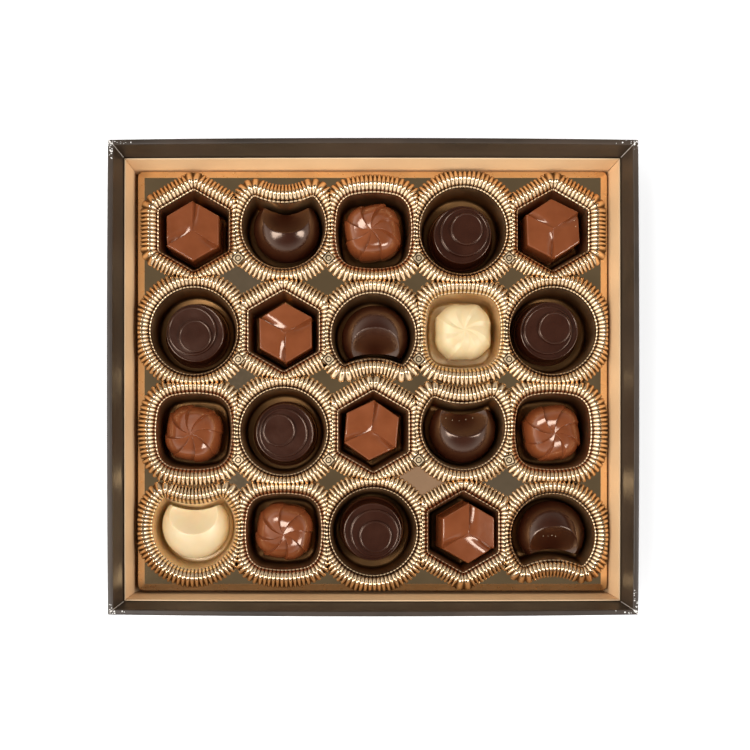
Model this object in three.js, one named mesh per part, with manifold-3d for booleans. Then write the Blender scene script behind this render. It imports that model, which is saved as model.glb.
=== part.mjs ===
// An open carton of twenty chocolate pralines, its lid off: a dark carton with sloping walls, a gold card
// frame inside it, and a gold moulded tray whose cups each have a raised rim and hold one praline.
// Millimetres. X runs to the right, Y away from the person it faces, Z up. The origin is the middle of the
// underside.
import * as THREE from "three";
import { mergeVertices } from "three/addons/utils/BufferGeometryUtils.js";
import Module from "manifold-3d";

const wasm = await Module();
wasm.setup();

// The carton. Insets are measured inwards from the outer wall at the middle of a side.
const CARTON = {
  length: 229.3,
  width: 206.1,
  height: 38,
  bow: [0.5, 0.8], // how far the two end walls and the two long walls bulge along the rim
  bowLow: [0.18, 0.28], // and how far lower down
  corner: 1.3,
  innerCorner: 0.2,
  floor: 1.2,
  edge: 0.5, // the fold's rounding along the rim
  rimInset: 2.35,
  ledgeInset: 5.1,
};
// The gold frame that stands inside the carton's walls.
const FRAME = { top: 27.3, gap: 0.3, topInset: 5.75, footInset: 7.55, footHeight: 17.2, edge: 0.35 };
// The tray. Heights are above the table, offsets are measured outwards from a cup's lip.
const TRAY = {
  length: 211.4,
  width: 188.9,
  centre: [0.5, 0.35],
  corner: 2.4,
  underside: 1.5,
  deck: 17.4,
  edge: 0.7,
  pitchX: 40.37,
  pitchY: 45.17,
  gridCentre: [0.85, 0.35],
};
const CUP = {
  floor: 2.4,
  floorOffset: -2.2,
  lip: 16.6,
  crest: 19.6,
  crestIn: 3.3,
  crestOut: 4.1,
  foot: 7.6,
  tightest: 0.5,
};
const SEAT_GAP = 0.3; // a praline's clearance over its cup's floor

// The cups' lips seen from above.
const ROUND_CUP = { radius: 19.45 };
const HEX_CUP = { apothem: 15.8, corner: 1.4 };
const SQUARE_CUP = { half: 17, corner: 9, sideAngle: 12 };
const BITE_CUP = { radius: 18.9, apex: 10.4, biteRadius: 29.6, horn: 1.6, shift: 2 };

// The pralines.
const STACK = {
  brim: 14.8,
  brimHeight: 1.6,
  body: [13.9, 13.1],
  bodyTop: 11.4,
  chamfer: 0.4,
  middle: [11.2, 10.8],
  middleTop: 12.8,
  button: [7.4, 7.1],
  buttonTop: 14,
};
const CUBE = {
  base: 12.1,
  side: 11.8,
  shoulder: 11.1,
  shoulderDrop: 0.9,
  height: 15,
  slope: 0.6, // how far a lozenge falls from its high corner to its low one
  roll: 2, // and how much further it rolls down along its last edge
  rollWidth: 0.17,
  rollPower: 0.8,
  rowsPower: 1.8,
  step: 0.08, // the share of a lozenge that is left to the slanting step up to the next
  brimHeight: 1.2,
};
const SWIRL = {
  half: 12.9,
  corner: 8.5,
  sideAngle: 12,
  footShare: 0.94,
  foot: 1.6,
  wall: 5,
  height: 14,
  domeShare: 0.96,
  domePower: 3.2,
  blades: 8,
  twist: 32,
  relief: 2.1, // how far a blade's high edge stands over the dome at its fullest
  fullest: 0.72, // the share of the way out where that is
  rimLoss: 0.75, // the share of the relief that is gone at the rim
  step: 0.1, // the share of a blade that is left to the slanting step up to the next
  jog: 0.05, // how far the outline steps in along a blade
};
const MOON = {
  radius: 15,
  apex: 7,
  biteRadius: 26,
  horn: 1.3,
  wall: 3.4,
  domeBase: 2.5,
  domeHeight: 13,
  domeRadius: 15.6,
  scoopY: 8.2,
  scoopWidth: 1.5, // the scoop is this much wider than deep
  scoopLow: 2.76,
  scoopSlope: 1.03,
};

// What stands in each cup, row by row from the far side: kind, chocolate, turn and lean in degrees, and how
// far it stands from its cup's middle. A moon's side is the way its bite faces, 1 far and -1 near. Each
// stack's discs lie differently: tiers are the middles of the second and third disc, measured from the first.
const level = [0, 0];
const cube = (turn, x, y, lean = level) => ({ kind: "cube", choc: "milk", turn, x, y, lean });
const swirl = (turn, x, y, lean = level, choc = "milk") => ({ kind: "swirl", choc, turn, x, y, lean });
const stack = (tiers, x, y, lean = level) => ({ kind: "stack", choc: "dark", turn: 0, tiers, x, y, lean });
const moon = (side, x, y, choc = "dark") => {
  return { kind: "moon", choc, turn: 90 - 90 * side, side, x, y, lean: level };
};
const LAYOUT = [
  [
    cube(0, -0.5, -0.3),
    moon(1, 1, 0.3),
    swirl(8, 0.6, 0.3, [0, -7]),
    stack([[0.8, 0.9], [1.7, 2.2]], 0, -1.4),
    cube(63, 0, 0.7),
  ],
  [
    stack([[-1.2, 0.7], [0.3, -1.7]], 0.2, -0.6),
    cube(61, 0.9, -0.9),
    moon(-1, 1, -0.3),
    swirl(3, 0.9, 0.6, level, "white"),
    stack([[-0.8, 0.2], [2.1, 1]], -1.1, 0.3),
  ],
  [
    swirl(-10, -0.4, -0.3, [4, -4]),
    stack([[-0.5, -0.1], [-2.5, 1]], 0.4, -0.5),
    cube(-5, -0.8, 0.5),
    moon(1, 0.7, -0.9),
    swirl(9, 0.7, 0, [4, 0]),
  ],
  [
    moon(1, -0.4, 0.5, "white"),
    swirl(-10, 0, 0.8, [9, 0]),
    stack([[0.9, -0.6], [1.3, -1.9]], -0.3, 1.2, [7, 0]),
    cube(0, 0.7, 0.1, [3, 6]),
    moon(-1, 1, 0.7),
  ],
];

const SAME_POINT = 1e-4;
const rad = THREE.MathUtils.degToRad;

// An outline is a list of arcs, run through counter-clockwise. A point of an arc is centre + radius * n,
// where n is the outline's outward normal, so an arc of negative radius is hollow.
const arc = (x, y, radius, from, to, steps) => ({ x, y, radius, from, to, steps });

function outlinePoints(arcs) {
  const points = arcs.flatMap(({ x, y, radius, from, to, steps }) =>
    Array.from({ length: steps + 1 }, (_, i) => {
      const a = rad(from + ((to - from) * i) / steps);
      return new THREE.Vector2(x + radius * Math.cos(a), y + radius * Math.sin(a));
    }),
  );
  return points.filter((p, i) => p.distanceTo(points.at(i - 1)) > SAME_POINT);
}

const circleOutline = (radius, steps, x = 0, y = 0) => [arc(x, y, radius, 0, 360 - 360 / steps, steps - 1)];

function hexOutline(apothem, corner, steps) {
  const reach = (apothem - corner) / Math.cos(rad(30));
  return Array.from({ length: 6 }, (_, i) => {
    const a = 30 + 60 * i;
    return arc(reach * Math.cos(rad(a)), reach * Math.sin(rad(a)), corner, a - 30, a + 30, steps);
  });
}

// A square with round corners and slightly bowed sides. Each side is a wide arc over sideAngle either way.
function squareOutline(half, corner, sideAngle, sideSteps, cornerSteps) {
  const [c, s] = [Math.cos(rad(sideAngle)), Math.sin(rad(sideAngle))];
  const side = (half - corner * (c - s)) / (1 - (c - s));
  const pull = side - half;
  const at = (side - corner) * s;
  return [0, 90, 180, 270].flatMap((turn) => {
    const [tc, ts] = [Math.cos(rad(turn)), Math.sin(rad(turn))];
    return [
      arc(-pull * tc, -pull * ts, side, turn - sideAngle, turn + sideAngle, sideSteps),
      arc(at * (tc - ts), at * (ts + tc), corner, turn + sideAngle, turn + 90 - sideAngle, cornerSteps),
    ];
  });
}

// A circle with a shallow bite on its +Y side, its two horns rounded.
function biteOutline({ radius, apex, biteRadius, horn }, roundSteps, hornSteps, biteSteps) {
  const c = apex + biteRadius;
  const y = (c * c + (radius - horn) ** 2 - (biteRadius + horn) ** 2) / (2 * c);
  const x = Math.sqrt((radius - horn) ** 2 - y * y);
  const out = THREE.MathUtils.radToDeg(Math.atan2(y, x));
  const inwards = THREE.MathUtils.radToDeg(Math.atan2(c - y, -x));
  return [
    arc(0, 0, radius, -180 - out, out, roundSteps),
    arc(x, y, horn, out, inwards, hornSteps),
    arc(0, c, -biteRadius, inwards, 180 - inwards, biteSteps),
    arc(-x, y, horn, 180 - inwards, 180 - out, hornSteps),
  ];
}

// A rectangle whose sides bulge by bowX and bowY, with small round corners. halfX and halfY are at the sides'
// middles.
function bowedOutline(halfX, halfY, bowX, bowY, corner, steps) {
  const points = [];
  const [endX, endY] = [halfX - bowX - corner, halfY - bowY - corner];
  const side = (i, half, bow, end) => {
    const t = -1 + (2 * i) / steps;
    return [half - bow * t * t, end * t];
  };
  for (const [turn, half, bow, end] of [
    [0, halfX, bowX, endY],
    [90, halfY, bowY, endX],
    [180, halfX, bowX, endY],
    [270, halfY, bowY, endX],
  ]) {
    const spin = rad(turn);
    for (let i = 0; i <= steps; i++) {
      points.push(new THREE.Vector2(...side(i, half, bow, end)).rotateAround(new THREE.Vector2(), spin));
    }
  }
  return points;
}

// Closed faceted solids

class Faces {
  constructor() {
    this.corners = [];
  }
  triangle(a, b, c) {
    this.corners.push(a, b, c);
  }
  quad(a, b, c, d) {
    this.triangle(a, b, c);
    this.triangle(a, c, d);
  }
  geometry() {
    return new THREE.BufferGeometry().setFromPoints(this.corners);
  }
}

const raise = (outline, z) => outline.map((p) => new THREE.Vector3(p.x, p.y, z));

function band(faces, low, high) {
  low.forEach((a, i) => {
    const j = (i + 1) % low.length;
    faces.quad(a, low[j], high[j], high[i]);
  });
}

function cap(faces, ring, up) {
  const flat = ring.map((p) => new THREE.Vector2(p.x, p.y));
  for (const [a, b, c] of THREE.ShapeUtils.triangulateShape(flat, [])) {
    faces.triangle(...(up ? [ring[a], ring[b], ring[c]] : [ring[a], ring[c], ring[b]]));
  }
}

// A solid through level rings, from a flat underside to a flat top.
function loft(rings) {
  const faces = new Faces();
  cap(faces, rings[0], false);
  rings.slice(1).forEach((ring, i) => band(faces, rings[i], ring));
  cap(faces, rings.at(-1), true);
  return faces.geometry();
}

// A ring-shaped solid whose section runs through the rings and back to the first.
function loop(rings) {
  const faces = new Faces();
  rings.forEach((ring, i) => band(faces, ring, rings[(i + 1) % rings.length]));
  return faces.geometry();
}

function solidOf(geometry) {
  const bare = new THREE.BufferGeometry().setAttribute("position", geometry.getAttribute("position"));
  const merged = mergeVertices(bare, SAME_POINT);
  const index = merged.index.array;
  const kept = [];
  for (let i = 0; i < index.length; i += 3) {
    const [a, b, c] = index.slice(i, i + 3);
    if (a !== b && b !== c && a !== c) kept.push(a, b, c);
  }
  const vertProperties = merged.attributes.position.array;
  return new wasm.Manifold(new wasm.Mesh({ numProp: 3, vertProperties, triVerts: new Uint32Array(kept) }));
}

function geometryOf(solid) {
  const mesh = solid.getMesh();
  return new THREE.BufferGeometry()
    .setAttribute("position", new THREE.BufferAttribute(mesh.vertProperties, 3))
    .setIndex(new THREE.BufferAttribute(mesh.triVerts, 1));
}

const joined = (solids) => solids.reduce((whole, next) => whole.add(next));

// The carton and the frame

function cartonGeometry() {
  const { height, bow, bowLow, corner, floor, edge, rimInset, ledgeInset } = CARTON;
  return loft([
    wallRing(0, 0, bow, corner),
    wallRing(0, height - edge, bow, corner),
    wallRing(edge, height, bow, corner - edge),
    wallRing(rimInset - edge, height, bow),
    wallRing(rimInset, height - edge, bow),
    wallRing(ledgeInset, FRAME.top, bowLow),
    wallRing(ledgeInset, floor, bowLow),
  ]);
}

function wallRing(inset, z, bow, corner = CARTON.innerCorner) {
  return raise(bowedOutline(CARTON.length / 2 - inset, CARTON.width / 2 - inset, ...bow, corner, 4), z);
}

function frameGeometry() {
  const { top, gap, topInset, footInset, footHeight, edge } = FRAME;
  const ring = (inset, z) => wallRing(inset, z, CARTON.bowLow);
  const outer = CARTON.ledgeInset + gap;
  const foot = CARTON.floor + gap;
  return loop([
    ring(footInset, foot),
    ring(outer, foot),
    ring(outer, top),
    ring(topInset, top),
    ring(topInset + edge, top - edge),
    ring(footInset, footHeight),
  ]);
}

// The tray

const sharpest = (radius) => Math.max(radius, CUP.tightest);
const SEATS = {
  stack: (d) => circleOutline(ROUND_CUP.radius + d, 28),
  cube: (d) => hexOutline(HEX_CUP.apothem + d, sharpest(HEX_CUP.corner + d), 2),
  swirl: (d) => squareOutline(SQUARE_CUP.half + d, SQUARE_CUP.corner + d, SQUARE_CUP.sideAngle, 1, 4),
  moon: (d) => biteOutline(widened(BITE_CUP, d), 16, 2, 5),
};

function widened({ radius, apex, biteRadius, horn }, d) {
  return { radius: radius + d, apex: apex + d, biteRadius: biteRadius - d, horn: sharpest(horn + d) };
}

function cupPlace(row, column) {
  return [TRAY.gridCentre[0] + (column - 2) * TRAY.pitchX, TRAY.gridCentre[1] + (1.5 - row) * TRAY.pitchY];
}

// A cup's lip in the tray's place. A bite cup is moved towards its bite, and turned round where the bite is
// near.
function cupRing(praline, row, column, offset, z) {
  const [x, y] = cupPlace(row, column);
  const turn = praline.kind === "moon" ? rad(praline.turn) : 0;
  const shift = praline.kind === "moon" ? BITE_CUP.shift * praline.side : 0;
  return outlinePoints(SEATS[praline.kind](offset))
    .map((p) => p.rotateAround(new THREE.Vector2(), turn))
    .map((p) => new THREE.Vector3(p.x + x, p.y + y + shift, z));
}

function everyCup(make) {
  return LAYOUT.flatMap((line, row) => line.map((praline, column) => make(praline, row, column)));
}

function trayGeometry() {
  const { length, width, centre, corner, underside, deck, edge } = TRAY;
  const ring = (inset, z) => {
    const [hx, hy, r] = [length / 2 - corner, width / 2 - corner, corner - inset];
    const corners = [[hx, hy, 0], [-hx, hy, 90], [-hx, -hy, 180], [hx, -hy, 270]];
    const arcs = corners.map(([x, y, a]) => arc(x + centre[0], y + centre[1], r, a, a + 90, 3));
    return raise(outlinePoints(arcs), z);
  };
  const block = loft([ring(0, underside), ring(0, deck - edge), ring(edge, deck)]);
  const bounds = loft([ring(edge, deck - edge), ring(edge, CUP.crest + edge)]);
  const mounds = everyCup((...cup) =>
    solidOf(
      loft([cupRing(...cup, CUP.foot + edge, deck - edge / 2), cupRing(...cup, CUP.crestOut, CUP.crest)]),
    ),
  );
  const hollows = everyCup((...cup) =>
    solidOf(
      loft([
        cupRing(...cup, CUP.floorOffset, CUP.floor),
        cupRing(...cup, 0, CUP.lip),
        cupRing(...cup, CUP.crestIn, CUP.crest),
        cupRing(...cup, CUP.crestIn, CUP.crest + 1),
      ]),
    ),
  );
  const raised = joined(mounds).intersect(solidOf(bounds));
  return geometryOf(solidOf(block).add(raised).subtract(joined(hollows)));
}

// The pralines, each standing on its own origin

// Three discs on a brimmed base, each pushed off centre.
function stackGeometry({ tiers }) {
  const s = STACK;
  const ring = (radius, z, [x, y] = [0, 0]) => raise(outlinePoints(circleOutline(radius, 26, x, y)), z);
  const body = [ring(s.brim, 0), ring(s.brim, s.brimHeight), ring(s.body[0], s.brimHeight + s.chamfer)];
  body.push(ring(s.body[1], s.bodyTop - s.chamfer), ring(s.body[1] - s.chamfer, s.bodyTop));
  const middle = [ring(s.middle[0], s.bodyTop - 1, tiers[0]), ring(s.middle[1], s.middleTop, tiers[0])];
  const button = [ring(s.button[0], s.middleTop - 1, tiers[1]), ring(s.button[1], s.buttonTop, tiers[1])];
  return geometryOf(joined([body, middle, button].map((rings) => solidOf(loft(rings)))));
}

// Closes a top made of blades round the middle. Each blade is a grid of points whose first row runs out along
// its high edge and whose last row runs out along its low edge, and a step joins it to the next blade's high
// edge. The foot is a list of ways to draw a point of the rim in or out, from the underside up.
function bladedTop(blades, foot) {
  const faces = new Faces();
  const rim = [];
  blades.forEach((blade, k) => {
    const next = blades[(k + 1) % blades.length];
    for (let v = 0; v + 1 < blade.length; v++) {
      for (let u = 0; u + 1 < blade[v].length; u++) {
        faces.quad(blade[v][u], blade[v][u + 1], blade[v + 1][u + 1], blade[v + 1][u]);
      }
    }
    const [low, high] = [blade.at(-1), next[0]];
    for (let u = 0; u + 1 < low.length; u++) faces.quad(low[u], low[u + 1], high[u + 1], high[u]);
    rim.push(...blade.map((row) => row.at(-1)));
  });
  rim.forEach((a, i) => {
    const b = rim[(i + 1) % rim.length];
    foot.forEach((draw, n) => {
      const [lowA, lowB] = [draw(a), draw(b)];
      const [highA, highB] = n + 1 < foot.length ? [foot[n + 1](a), foot[n + 1](b)] : [a, b];
      faces.quad(lowA, lowB, highB, highA);
    });
  });
  cap(faces, rim.map(foot[0]), false);
  return faces.geometry();
}

// A praline's side at a height, and a little below its rim, as the rim drawn in or out.
const levelled = (scale, z) => (p) => new THREE.Vector3(p.x * scale, p.y * scale, z);
const lowered = (scale, drop) => (p) => new THREE.Vector3(p.x * scale, p.y * scale, p.z - drop);

// A hexagon whose top is three lozenges set like the vanes of a windmill. Each is high along its first edge
// and rolls down along its last, where the next one stands above it as a slanting step.
function cubeGeometry() {
  const { base, side, shoulder, shoulderDrop, height, slope, step, brimHeight } = CUBE;
  const { roll, rollWidth, rollPower, rowsPower } = CUBE;
  const along = 4;
  const inward = 3;
  const reach = shoulder / Math.cos(rad(30));
  const corner = (a) => new THREE.Vector2(reach, 0).rotateAround(new THREE.Vector2(), rad(a));
  // A lozenge's edge on the rim runs from its high corner through the corner between to just before its low
  // corner. Its rows lie closer together where it rolls down.
  const rimAt = (t) => (t < 1 ? [1, t] : [1 - (1 - step) * (1 - (2 - t) ** rowsPower), 1]);
  const heightAt = (f, g) => height - slope * g - roll * g ** rollPower * Math.exp(-((f / rollWidth) ** 2));
  const blades = [90, 210, 330].map((a) => {
    const [high, low] = [corner(a), corner(a + 120)];
    return Array.from({ length: 2 * along + 1 }, (_, v) => {
      const [p, q] = rimAt(v / along);
      return Array.from({ length: inward + 1 }, (_, u) => {
        const [f, g] = [(p * u) / inward, (q * u) / inward];
        return new THREE.Vector3(high.x * f + low.x * g, high.y * f + low.y * g, heightAt(f, g));
      });
    });
  });
  const [wide, waist] = [base / shoulder, side / shoulder];
  return bladedTop(blades, [levelled(wide, 0), levelled(wide, brimHeight), lowered(waist, shoulderDrop)]);
}

// A cushion-shaped dome with curved blades that wind round its middle. Each is high along its first edge, and
// the next one stands above its last edge as a slanting step.
function swirlGeometry() {
  const { half, corner, sideAngle, footShare, foot, wall, height, domeShare, domePower } = SWIRL;
  const { blades, twist, relief, fullest, rimLoss, step, jog } = SWIRL;
  const rings = [0, 0.4, fullest, 0.9, 1];
  const across = 3;
  const outline = squareOutline(half, corner, sideAngle, 4, 8);
  const reach = reachOf(outlinePoints(outline));
  const grid = Array.from({ length: blades }, (_, k) =>
    Array.from({ length: across + 1 }, (_, v) =>
      rings.map((t) => {
        const share = v / across;
        const a = (360 / blades) * (k + share * (1 - step)) - twist * t;
        const rim = Math.max(t - fullest, 0) / (1 - fullest);
        const r = reach(a) * t * (1 - jog * share * rim);
        const dome = wall + (height - wall) * Math.sqrt(1 - domeShare * t ** domePower);
        const rise = relief * Math.min(t / fullest, 1) * (1 - rimLoss * rim ** 2) * (1 - share);
        return new THREE.Vector3(r * Math.cos(rad(a)), r * Math.sin(rad(a)), dome + rise);
      }),
    ),
  );
  return bladedTop(grid, [levelled(footShare, 0), levelled(1, foot)]);
}

// How far an outline reaches from the middle at an angle in degrees.
function reachOf(points) {
  const turns = points.map((p) => [(THREE.MathUtils.radToDeg(p.angle()) + 360) % 360, p.length()]);
  turns.sort((a, b) => a[0] - b[0]);
  return (angle) => {
    const a = ((angle % 360) + 360) % 360;
    const i = turns.findIndex(([t]) => t > a);
    const [from, to] = i > 0 ? [turns[i - 1], turns[i]] : [turns.at(-1), turns[0]];
    const span = (((to[0] - from[0]) % 360) + 360) % 360 || 360;
    const f = ((((a - from[0]) % 360) + 360) % 360) / span;
    return from[1] + (to[1] - from[1]) * f;
  };
}

// A dome with a bite out of one side and a slope scooped down into the bite.
function moonGeometry() {
  const m = MOON;
  const outline = outlinePoints(biteOutline(m, 18, 2, 6));
  const dome = (r) => m.domeBase + m.domeHeight * Math.sqrt(1 - (r / m.domeRadius) ** 2);
  const faces = new Faces();
  const ringAt = (t) => outline.map((p) => new THREE.Vector3(p.x * t, p.y * t, dome(p.length() * t)));
  const rings = [raise(outline, 0), ...[1, 0.93, 0.8, 0.62, 0.36].map(ringAt)];
  cap(faces, rings[0], false);
  rings.slice(1).forEach((ring, i) => band(faces, rings[i], ring));
  const top = new THREE.Vector3(0, 0, dome(0));
  rings.at(-1).forEach((a, i, last) => faces.triangle(a, last[(i + 1) % last.length], top));
  const scoopRing = (z) => {
    const radius = (z - m.scoopLow) / m.scoopSlope;
    return circleOutline(radius, 28)
      .flatMap((a) => outlinePoints([a]))
      .map((p) => new THREE.Vector3(p.x * m.scoopWidth, p.y + m.scoopY, z));
  };
  const scoop = loft([scoopRing(m.wall), scoopRing(m.domeBase + m.domeHeight + 1)]);
  return geometryOf(solidOf(faces.geometry()).subtract(solidOf(scoop)));
}

// The finished object

function finish(color, roughness, metalness) {
  return new THREE.MeshStandardMaterial({ color, roughness, metalness });
}
const MATERIALS = {
  carton: finish(0x2b221c, 0.35, 0.2),
  frame: finish(0xc49a6c, 0.4, 0.6),
  tray: finish(0xc9a266, 0.2, 1),
  dark: finish(0x3b2520, 0.3, 0),
  milk: finish(0x8a4f36, 0.35, 0),
  white: finish(0xf3dfae, 0.4, 0),
};
const SAME_EVERYWHERE = { cube: cubeGeometry(), swirl: swirlGeometry(), moon: moonGeometry() };

const box = new THREE.Group();

function place(name, geometry, material) {
  const mesh = new THREE.Mesh(geometry, material);
  mesh.name = name;
  box.add(mesh);
  return mesh;
}

place("carton", cartonGeometry(), MATERIALS.carton);
place("frame", frameGeometry(), MATERIALS.frame);
place("tray", trayGeometry(), MATERIALS.tray);

everyCup((praline, row, column) => {
  const name = `praline_${row + 1}${column + 1}_${praline.choc}_${praline.kind}`;
  const mesh = place(name, SAME_EVERYWHERE[praline.kind] ?? stackGeometry(praline), MATERIALS[praline.choc]);
  const [x, y] = cupPlace(row, column);
  const shift = praline.kind === "moon" ? BITE_CUP.shift * praline.side : 0;
  mesh.rotation.set(rad(praline.lean[0]), rad(praline.lean[1]), rad(praline.turn), "XYZ");
  mesh.updateMatrix();
  const leans = praline.lean.some(Boolean);
  const standing = leans ? mesh.geometry.clone().applyMatrix4(mesh.matrix) : mesh.geometry;
  standing.computeBoundingBox();
  mesh.position.set(x + praline.x, y + shift + praline.y, CUP.floor + SEAT_GAP - standing.boundingBox.min.z);
});

export default box;
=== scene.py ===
import math
import random

import bpy
import numpy as np
from mathutils import Euler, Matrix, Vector, kdtree


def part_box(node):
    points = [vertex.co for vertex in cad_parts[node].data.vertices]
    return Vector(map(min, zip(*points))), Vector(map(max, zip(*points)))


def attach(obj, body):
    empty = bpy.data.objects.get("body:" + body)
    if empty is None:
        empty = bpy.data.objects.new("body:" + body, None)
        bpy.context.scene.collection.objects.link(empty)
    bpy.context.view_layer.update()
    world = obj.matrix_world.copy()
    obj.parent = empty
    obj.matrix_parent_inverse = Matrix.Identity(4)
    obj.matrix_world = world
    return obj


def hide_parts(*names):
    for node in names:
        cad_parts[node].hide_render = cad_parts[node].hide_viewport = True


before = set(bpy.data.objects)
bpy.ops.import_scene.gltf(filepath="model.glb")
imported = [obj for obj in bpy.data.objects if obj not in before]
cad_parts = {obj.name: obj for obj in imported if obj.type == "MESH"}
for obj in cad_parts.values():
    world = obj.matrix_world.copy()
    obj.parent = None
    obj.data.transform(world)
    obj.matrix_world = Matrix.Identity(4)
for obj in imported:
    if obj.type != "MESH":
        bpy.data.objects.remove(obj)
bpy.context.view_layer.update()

# Sizes are in millimetres and turned into metres when a mesh is made. Heights are above the table.
MM = 0.001
CARTON_HIGH = Vector(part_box("carton")[1]) / MM
TRAY_LOW, TRAY_HIGH = (Vector(corner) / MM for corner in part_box("tray"))
HALF_X, HALF_Y, RIM_Z = CARTON_HIGH
TRAY_MIDDLE = (TRAY_LOW + TRAY_HIGH) / 2
TRAY_HALF = (TRAY_HIGH - TRAY_LOW) / 2

# The carton's walls. Insets are measured inwards from the outer wall, at the middle of a side.
BOW_RIM = (0.5, 0.8)
BOW_LOW = (0.18, 0.28)
RIM_INSET = 2.35
LEDGE_INSET = 5.1
LEDGE_Z = 27.3
LEDGE_ROUND = {"inset": 0.15, "above": 0.3, "below": 0.6}
FLOOR_Z = 1.2
FOOT_ROUND = 0.4
FOLD = 0.5
FOLD_STEPS = 6
SEAM = {"radius": 0.14, "start": 0.6, "sink": 0.15, "bend": 0.25, "end": 0.4, "steps": 8}

# The card frame's section, as insets and heights, and what tells its cut edge from its foiled faces.
FRAME_SECTION = (
    (7.55, 1.6), (5.4, 1.6), (5.4, 27), (5.5, 27.3), (5.75, 27.3), (5.95, 27.18), (6.05, 26.8),
    (7.45, 17.8), (7.55, 17.2),
)
CUT_EDGE_DEPTH, CUT_EDGE_RISE = 0.2, 0.5
MITRE_GAP = 0.12

# The tray. Offsets are measured outwards from a cup's lip.
DECK_Z = 17.4
UNDERSIDE_Z = 1.5
TRAY_CORNER = 2.4
TRAY_EDGE = 0.7
DROOP, DROOP_WIDTH = 1, 2.6
PITCH_X, PITCH_Y = 40.37, 45.17
GRID_MIDDLE = (0.85, 0.35)
LIP_Z = 16.6
FOOT = 7.6
EVEN_AT = 2.5
CUP_FLOOR_Z = 2.4
FLUTE_PITCH = 1.8
FLUTE_SAMPLES = 8
RIM_PROFILE = (
    (-0.12, 15.9), (-0.02, 16.5), (0.12, 16.72), (0.32, 16.8), (0.5, 16.9), (0.62, 17.1), (0.95, 17.8),
    (1.7, 18.6), (2.6, 19.25), (3.4, 19.55), (4, 19.6), (4.7, 19.4), (5.5, 19), (6.4, 18.4), (7.3, 17.75),
    (7.8, 17.3), (8.2, 16.6),
)
FLUTE_DEPTH = (
    (-0.12, 0), (0.12, 0.3), (0.5, 0.35), (1, 0.4), (1.6, 0.45), (3, 0.6), (4.2, 0.7), (5.5, 0.85),
    (7.3, 1.2),
)
FLUTE_STRENGTH = (0.75, 1.15)
FLUTE_ROUND, FLUTE_LEVEL = 0.85, 0.6

# How dark the flutes' painted shade is: in their valleys, on the narrow ledge over the lip and towards their
# outer ends.
VALLEY_PAINTED_SHADE = {"growth": 2.2, "start": 0.5}
LEDGE_PAINTED_SHADE = {"share": 0.5, "offset": 1.3, "width": 0.7}
END_PAINTED_SHADE = {"share": 0.6, "offset": 5, "width": 2}

# The cups' walls, and how many points go round each.
WELL_POINTS = 144
WELL_PROFILE = ((0.02, 16.55), (-0.25, 15), (-0.95, 10.5), (-1.6, 6), (-1.9, 3.7), (-2.3, 2.8), (-3.2, 2.4))

# The cups' lips.
ROUND_CUP = 19.45
HEX_CUP, HEX_CUP_CORNER = 15.8, 1.4
SQUARE_CUP, SQUARE_CUP_CORNER, SQUARE_BOW = 17, 9, 12
BITE_CUP = {"radius": 18.9, "apex": 10.4, "bite": 29.6, "horn": 1.6}
BITE_SHIFT = 2
SHARPEST = 0.5

# The tray's flat, whose grid runs on a little under the rims, its rough painted-reflection (1) and crinkled
# (2) spots.
DECK_STEP, DECK_HIDDEN = 1, 6
DECK_SPOTS = ((21, -44.8, 1), (61.4, -44.8, 2), (-59.7, -44.8, 2), (-59.7, 45.5, 2), (-59.7, 0.35, 2))
SPOT_REACH = 12

# Where the painted shade on the band along the tray's edge starts, as a share of the tray's half, and how
# dark the painted shade makes its near and left sides.
BAND_START, BAND_BLEND, BAND_NEAR_SHADE, BAND_LEFT_SHADE = 0.93, 0.04, 0.7, 0.3

# Moulded marks on the rims: x, y and turn.
MARK_HALF, MARK_CORNER, MARK_RING, MARK_Z = 2.1, 0.5, 1.15, 19.9
MARK_RIDGE, MARK_RISE, MARK_DOT = 0.26, 0.08, 0.12
MARK_DEPTH, MARK_CROWN, MARK_SHADE_ABOVE = 1.4, 0.1, 0.01
MARK_TURN, LAST_MARK_TURN = 45, 20
MARKS = [(x, y, MARK_TURN) for y in (55, 9.8, -35.3) for x in (-59.7, -19.3, 21, 61.4)]
MARKS[-1] = (*MARKS[-1][:2], LAST_MARK_TURN)

# The pralines. Side and foot profiles are (radius or share of the rim, height).
SEAT_Z = 2.7
WELD = 0.02
SHARP_ANGLE = 28
ROUNDING = {"cube": 0.35, "swirl": 0.5}
STACK = {"top": 13.1, "middle": 10.9, "button": 7.3, "gap": 0.15}
STACK_SIDE = ((14.5, 0), (14.8, 0.3), (14.8, 1.2), (14.45, 1.6), (14.1, 1.75), (13.9, 2.1), (13.15, 10.5))
STACK_FLATS = (11.2, 12.6, 13.8)
BEAD = {"width": 0.46, "rise": 0.3, "step": 0.25, "side": 0.5}
CUBE = {"shoulder": 11.1, "height": 15, "slope": 0.6, "step": 0.08, "rows_power": 1.8}
CUBE_ROLL = {"depth": 2, "width": 0.17, "power": 0.8}
CUBE_EDGE = {"width": 0.8, "drop": 1.4, "side": 1.8}
CUBE_FOOT = ((1.01, 0), (1.025, 0.3), (1.025, 1), (1.01, 1.3))
SWIRL = {"half": 12.9, "corner": 8.5, "wall": 5, "height": 14, "blades": 8}
SWIRL |= {"twist": 32, "step": 0.1, "jog": 0.05}
SWIRL_RELIEF, SWIRL_FULLEST, SWIRL_RIM_LOSS = 2.1, 0.72, 0.75
SWIRL_DOME, SWIRL_DOME_POWER = 0.96, 3.2
SWIRL_FOOT = ((0.92, 0), (0.95, 0.4), (1, 1.8), (1.005, 3.4))
WORN_RELIEF, WORN_STEP = 0.42, 0.35
MOON = {"radius": 15, "apex": 7, "bite": 26, "horn": 1.3}
MOON_FOOT, MOON_FOOT_Z, MOON_SPACING = 0.985, 0.4, 0.8
DOME_BASE, DOME_HEIGHT, DOME_RADIUS = 2.5, 13, 15.6
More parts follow.
